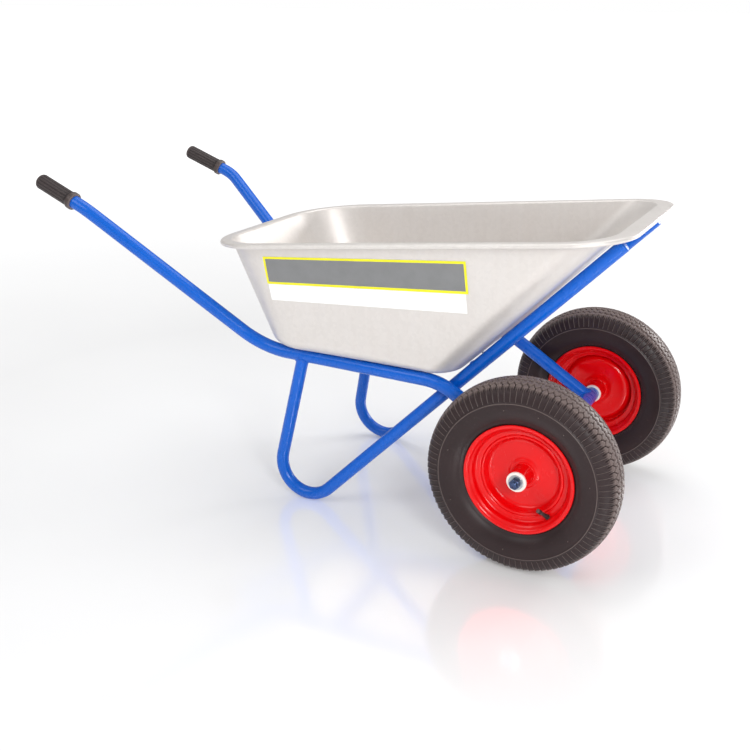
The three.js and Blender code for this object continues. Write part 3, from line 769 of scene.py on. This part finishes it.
def add_valve(name, body, middle, axis):
    spoke = spoke_at(VALVE_ANGLE)
    root, tip = (middle + spoke * radius + axis * height for radius, height in (VALVE_ROOT, VALVE_TIP))
    direction = (tip - root).normalized()
    length = (tip - root).length
    outline = soften(VALVE_STEM + [(3.6, length), (0, length)], 0.5, ring=False)
    stem = lathe(outline, 36, root, direction, ring=False)
    piece(f"valve_stem_{name}_moulded", stem, body, VALVE_RUBBER, [f"valve_stem_{name}"])

    def knurl(radius, height, turn):
        return -0.3 * (0.5 - 0.5 * math.cos(14 * turn)) if radius > 4.4 and -2 < height < 5 else 0

    outline = VALVE_CAP_FOOT + VALVE_CAP_SIDE + VALVE_CAP_END
    cap = lathe(outline, 84, tip + direction * 0.3, direction, ring=False, ripple=knurl)
    piece(f"valve_cap_{name}_knurled", cap, body, VALVE_RUBBER, [f"valve_cap_{name}"])


# ---- tray ----
def rim_height(x):
    return RIM_HEIGHT + RIM_RISE * x


def plan_points(plan, height_at, per_corner=16, per_edge=12):
    """Points round a rounded plan, each with its outward direction; edges are divided evenly."""
    rear, front, half_rear, half_front, corner_rear, corner_front = plan
    ring = []
    for end_x, side, turn in ((1, 1, 0), (-1, 1, 90), (-1, -1, 180), (1, -1, 270)):
        radius = corner_front if end_x > 0 else corner_rear
        half = half_front if end_x > 0 else half_rear
        centre = Vector(((front if end_x > 0 else rear) - end_x * radius, side * (half - radius), 0))
        for k in range(per_corner + 1):
            angle = math.radians(turn + 90 * k / per_corner)
            outward = Vector((math.cos(angle), math.sin(angle), 0))
            ring.append((centre + outward * radius, outward))
    divided = []
    for i, (point, outward) in enumerate(ring):
        divided.append((point, outward))
        if (i + 1) % (per_corner + 1) == 0:
            after = ring[(i + 1) % len(ring)][0]
            divided += [(point.lerp(after, k / per_edge), outward) for k in range(1, per_edge)]
    return [(Vector((p.x + AXLE_X, p.y, height_at(p.x))), outward) for p, outward in divided]


def wall_rows(start, end, rows):
    return [start.lerp(end, k / rows) for k in range(1, rows)]


def bead_point(centre, outward, degrees):
    angle = math.radians(degrees)
    return centre + outward * (BEAD_RADIUS * math.cos(angle)) + Z_AXIS * (BEAD_RADIUS * math.sin(angle))


def tray_columns():
    """One column of points for each place round the tray.
    It goes up the outside, round the rolled rim and down the inside."""
    floors = plan_points(FLOOR_PLAN, lambda x: TRAY_FLOOR_Z)
    heads = plan_points(WALL_PLAN, rim_height)
    beads = plan_points(BEAD_PLAN, rim_height)
    columns = []
    for (floor, outward), (head, _), (bead, _) in zip(floors, heads, beads):
        inside = floor - outward * 100
        column = corner_arc(inside, floor, head, FLOOR_FILLET, 12)
        under = head + Z_AXIS * (BEAD_RADIUS - SHEET - RIM_NECK)
        column += wall_rows(column[-1], under, 7)
        column += corner_arc(column[-1], under, bead_point(bead, outward, 150), NECK_BEND, 5)
        column += [bead_point(bead, outward, 150 + 20 * k) for k in range(16)]
        top = head - outward * SHEET + Z_AXIS * BEAD_RADIUS
        inner_floor = floor - outward * SHEET + Z_AXIS * SHEET
        column += corner_arc(bead_point(bead, outward, 90), top, inner_floor, LIP_BEND, 6)
        rise = corner_arc(top, inner_floor, inside + Z_AXIS * SHEET, FLOOR_FILLET - SHEET, 12)
        column += wall_rows(column[-1], rise[0], 7) + rise
        columns.append(column)
    return columns


def centre_of(ring):
    return sum(ring, Vector()) / len(ring)


def tray_shape():
    """The tray's skin, with its floor's outside and inside closed by fans of triangles."""
    rings = [list(ring) for ring in zip(*tray_columns())]

    def closer_rings(edge):
        centre = centre_of(edge)
        return [[p.lerp(centre, share) for p in edge] for share in (0.15, 0.5)]

    rings = closer_rings(rings[0])[::-1] + rings + closer_rings(rings[-1])
    points, faces = loft(rings, False)
    faces = faces[:-2]
    count = len(rings[0])
    for start in (0, len(points) - count):
        hub = len(points)
        points.append(centre_of(points[start:start + count]))
        faces += [(hub, start + k, start + (k + 1) % count) for k in range(count)]
    return points, faces


def film(tree, along, across, thickness, lift):
    """A thin film that follows the right wall: a grid over the label's plane, dropped onto the sheet.
    The label is a little taller at its front end."""
    middle = place(LABEL_MIDDLE, 1)
    length_way = Vector((math.cos(LABEL_TILT), 0, math.sin(LABEL_TILT)))
    height_way = Vector((-math.sin(LABEL_TILT), 0, math.cos(LABEL_TILT)))
    columns = max(2, round((along[1] - along[0]) / 8))
    rows = max(2, round((across[1] - across[0]) / 6))

    def dropped(s, t, stand_off):
        point = middle + length_way * s + height_way * t
        hit = tree.ray_cast(Vector((point.x, -400, point.z)), Y_AXIS)[0]
        return hit - Y_AXIS * stand_off

    points = []
    for stand_off in (lift, lift + thickness):
        for j in range(rows + 1):
            t = across[0] + (across[1] - across[0]) * j / rows
            for i in range(columns + 1):
                s = along[0] + (along[1] - along[0]) * i / columns
                flare = 1.03 + 0.05 * s / LABEL_HALF
                points.append(dropped(s, LABEL_TOP + (t - LABEL_TOP) * flare, stand_off))
    width, depth = columns + 1, (columns + 1) * (rows + 1)
    faces = []
    for j in range(rows):
        for i in range(columns):
            a = j * width + i
            quad = (a, a + 1, a + width + 1, a + width)
            faces += [quad, tuple(k + depth for k in reversed(quad))]
    border = list(range(width)) + [j * width + columns for j in range(1, rows + 1)]
    border += [rows * width + i for i in reversed(range(columns))]
    border += [j * width for j in reversed(range(1, rows))]
    for a, b in zip(border, border[1:] + border[:1]):
        faces.append((a, b, b + depth, a + depth))
    return points, faces


def add_tray():
    shape = tray_shape()
    piece("tray_pressed", shape, "frame", SHEET_METAL, ["tray"], sharp=50)
    tree = BVHTree.FromPolygons(*shape)
    whole, low, top = (-LABEL_HALF, LABEL_HALF), BAND_BOTTOM, LABEL_TOP
    band = film(tree, whole, (low, top), 0.2, 0.25)
    piece("label_band", band, "frame", LABEL_GREY, ["side_label"])
    spans = [
        (whole, (top - BORDER, top)),
        (whole, (low, low + BORDER)),
        ((-LABEL_HALF, BORDER - LABEL_HALF), (low + BORDER, top - BORDER)),
        ((LABEL_HALF - BORDER, LABEL_HALF), (low + BORDER, top - BORDER)),
    ]
    edges = [film(tree, along, across, 0.12, 0.42) for along, across in spans]
    piece("label_border", joined(edges), "frame", LABEL_YELLOW)
    strip = film(tree, (3 - LABEL_HALF, LABEL_HALF - 6), (STRIP_BOTTOM, low - 0.4), 0.2, 0.25)
    piece("label_strip", strip, "frame", LABEL_WHITE)


# ---- CAD nodes that stay: their shapes are right, so they only take a finish ----
def finish_nodes():
    kept = {"rear_strap": BLUE}
    for name in SIDES:
        kept[f"axle_plug_{name}"] = ZINC
        kept[f"inner_tube_{name}"] = VALVE_RUBBER
        for where in ("floor", "front"):
            kept[f"tray_bolt_{where}_{name}"] = ZINC
            kept[f"tray_nut_{where}_{name}"] = ZINC
    for node, material in kept.items():
        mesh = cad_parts[node].data
        mesh.materials.clear()
        mesh.materials.append(material)


# ---- stage ----
# From here on lengths are metres.
GROUND_REACH = 120.0
GROUND_Z = -0.0004


def grey(value, extra_blue=0):
    return (value, value, value + extra_blue, 1)


def add_floor():
    """A pale, slightly glossy floor with a painted glow that grows whiter away from the object, out to the
    horizon.
    """
    mesh = bpy.data.meshes.new("floor")
    signs = [(-1, -1), (1, -1), (1, 1), (-1, 1)]
    corners = [(x * GROUND_REACH, y * GROUND_REACH, GROUND_Z) for x, y in signs]
    mesh.from_pydata(corners, [], [(0, 1, 2, 3)])
    surface = Surface("floor_white", IOR=2.6, Specular_IOR_Level=0.8, Emission_Strength=1.0)
    tone = surface.noise(1.5, 2.0)
    surface.colour(surface.mix(surface.spread(tone, 0.0, 1.0), grey(0.93, 0.005), grey(0.95, 0.005)))
    surface.roughness(surface.spread(tone, 0.12, 0.15))
    # Painted glow: the floor emits light, dim near the object and bright far from it.
    distance = surface.vectors("LENGTH", surface.coords)["Value"]
    glow = surface.mix(surface.spread(distance, 0.0, 1.0, 1.3, 5.0), grey(0.16), grey(0.75))
    surface.tree.links.new(glow, surface.shader.inputs["Emission Color"])
    mesh.materials.append(surface.material)
    made = bpy.data.objects.new("floor", mesh)
    bpy.context.scene.collection.objects.link(made)


def add_light(name, location, target, size, watts):
    light = bpy.data.lights.new(name, "AREA")
    light.shape = "RECTANGLE"
    light.size, light.size_y = size
    light.energy = watts
    made = bpy.data.objects.new(name, light)
    made.location = location
    made.visible_camera = False
    made.rotation_euler = (Vector(target) - Vector(location)).to_track_quat("-Z", "Y").to_euler()
    bpy.context.scene.collection.objects.link(made)


def add_world():
    """White surroundings. The camera sees plain white, and the light dips between horizon and overhead."""
    world = bpy.data.worlds.new("studio")
    world.use_nodes = True
    bpy.context.scene.world = world
    tree = world.node_tree
    soft = tree.nodes["Background"]
    coords = tree.nodes.new("ShaderNodeTexCoord")
    split = tree.nodes.new("ShaderNodeSeparateXYZ")
    ramp = tree.nodes.new("ShaderNodeValToRGB")
    tree.links.new(coords.outputs["Generated"], split.inputs[0])
    tree.links.new(split.outputs["Z"], ramp.inputs["Fac"])
    tree.links.new(ramp.outputs["Color"], soft.inputs["Color"])
    ramp.color_ramp.elements[0].color = grey(1)
    ramp.color_ramp.elements[1].color = grey(1.05)
    for position, level in ((0.16, 0.85), (0.42, 0.45), (0.72, 1.0)):
        ramp.color_ramp.elements.new(position).color = grey(level)
    soft.inputs["Strength"].default_value = 0.55
    plain = tree.nodes.new("ShaderNodeBackground")
    plain.inputs["Color"].default_value = grey(1)
    path = tree.nodes.new("ShaderNodeLightPath")
    choose = tree.nodes.new("ShaderNodeMixShader")
    tree.links.new(path.outputs["Is Camera Ray"], choose.inputs["Fac"])
    tree.links.new(soft.outputs[0], choose.inputs[1])
    tree.links.new(plain.outputs[0], choose.inputs[2])
    tree.links.new(choose.outputs[0], tree.nodes["World Output"].inputs["Surface"])


def add_camera():
    """The photo's view: turned from the right side towards the front, looking down, with a slight roll."""
    azimuth, elevation, roll = math.radians(24.72), math.radians(16.871), math.radians(0.3994)
    right = Vector((math.cos(azimuth), math.sin(azimuth), 0))
    level_back = Vector((math.sin(azimuth), -math.cos(azimuth), 0))
    back = level_back * math.cos(elevation) + Z_AXIS * math.sin(elevation)
    up = back.cross(right)
    level_right = right * math.cos(roll) + up * math.sin(roll)
    level_up = up * math.cos(roll) - right * math.sin(roll)
    data = bpy.data.cameras.new("camera")
    data.lens, data.sensor_width = 50.787, 36
    data.shift_x, data.shift_y = -0.05165, -0.0703
    camera = bpy.data.objects.new("camera", data)
    turn = Matrix((level_right, level_up, back)).transposed().to_4x4()
    camera.matrix_world = Matrix.Translation((1.09578, -2.10829, 1.09484)) @ turn
    bpy.context.scene.collection.objects.link(camera)
    bpy.context.scene.camera = camera


for side_name, side_sign in SIDES.items():
    add_frame_side(side_name, side_sign)
    add_axle_end(side_name, side_sign)
    add_wheel(side_name, side_sign)
add_cross_members()
add_axle_rod()
add_tray()
finish_nodes()

add_floor()
add_world()
add_camera()
add_light("key", (-1.4, -2.6, 2.9), (0, 0, 0.4), (2.2, 1.6), 30)
add_light("right", (2.2, -2.5, 1.75), (0.4, 0.1, 0.4), (0.8, 1.1), 54)
add_light("back", (1.9, 2.4, 1.15), (0.49, -0.27, 0.25), (1.5, 0.9), 40)
add_light("top", (0.2, 0.8, 3.2), (0, 0, 0.3), (3.0, 2.2), 46)
bpy.context.scene.view_settings.view_transform = "Standard"
